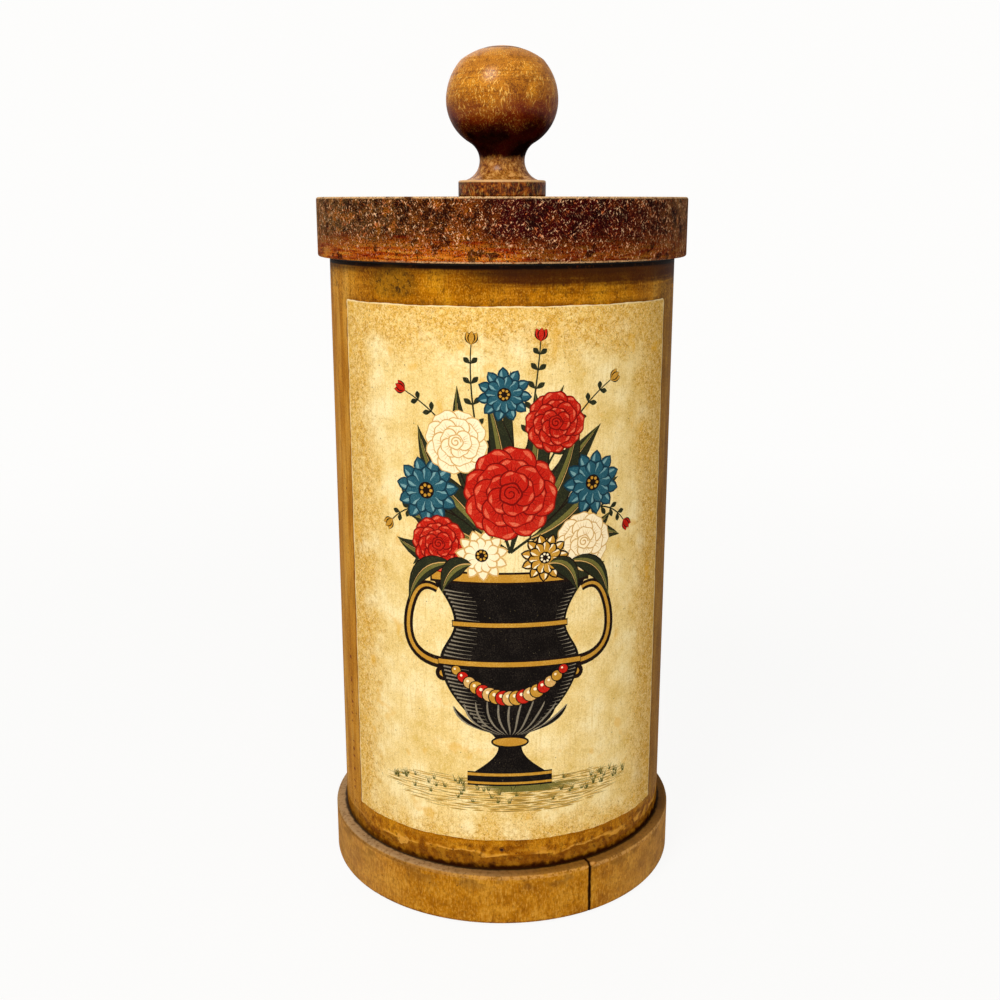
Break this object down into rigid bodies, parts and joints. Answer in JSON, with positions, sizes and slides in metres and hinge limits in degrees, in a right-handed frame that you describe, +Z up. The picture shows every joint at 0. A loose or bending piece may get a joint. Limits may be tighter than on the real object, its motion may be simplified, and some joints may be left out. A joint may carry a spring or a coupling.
{
  "type": "cigar humidor",
  "caption": "Round wooden cigar humidor: bent-wood tube with a pasted print, turned base, and a lift-off turned lid with a ball knob and a humidifier inside.",
  "frame": {"origin": "centre of the foot, on the surface that the humidor stands on", "axes": "+Z up along the tube, -Y towards the front with the print, +X to the right"},
  "size_m": [0.125, 0.125, 0.2863],
  "materials": {
    "base_wood": "worn golden-brown varnish",
    "bare_wood": "bare turned wood",
    "tube_varnish": "glossy aged amber varnish",
    "lid_wood": "dark mottled varnish",
    "knob_wood": "golden-brown varnish",
    "cedar": "bare cedar",
    "print_paper": "varnished aged paper",
    "felt": "felt",
    "seal_cork": "darkened cork",
    "steel": "dull steel",
    "brad_iron": "darkened iron",
    "brass": "aged brass",
    "clay": "porous unglazed clay"
  },
  "bodies": {
    "canister": {"base_disc": "base_wood", "base_plug": "bare_wood", "base_screws": "steel", "base_felt": "felt", "body_tube": "tube_varnish", "tube_brads": "brad_iron", "print_sheet": "print_paper", "cedar_lining": "cedar", "cedar_floor": "cedar"},
    "lid": {"lid_disc": "lid_wood", "lid_plug": "bare_wood", "lid_seal": "seal_cork", "knob": "knob_wood", "knob_screw": "steel", "knob_washer": "steel", "humidifier_cup": "brass", "humidifier_screws": "brass", "humidifier_clay": "clay"},
    "humidifier_cover": {"humidifier_cover": "brass"}
  },
  "joints": [
    {"name": "lid_lift", "type": "slide", "parent": "canister", "child": "lid", "axis": [0, 0, 1], "range_m": [0, 0.12]},
    {"name": "cover_pull", "type": "slide", "parent": "lid", "child": "humidifier_cover", "axis": [0, 0, -1], "range_m": [0, 0.02]}
  ]
}
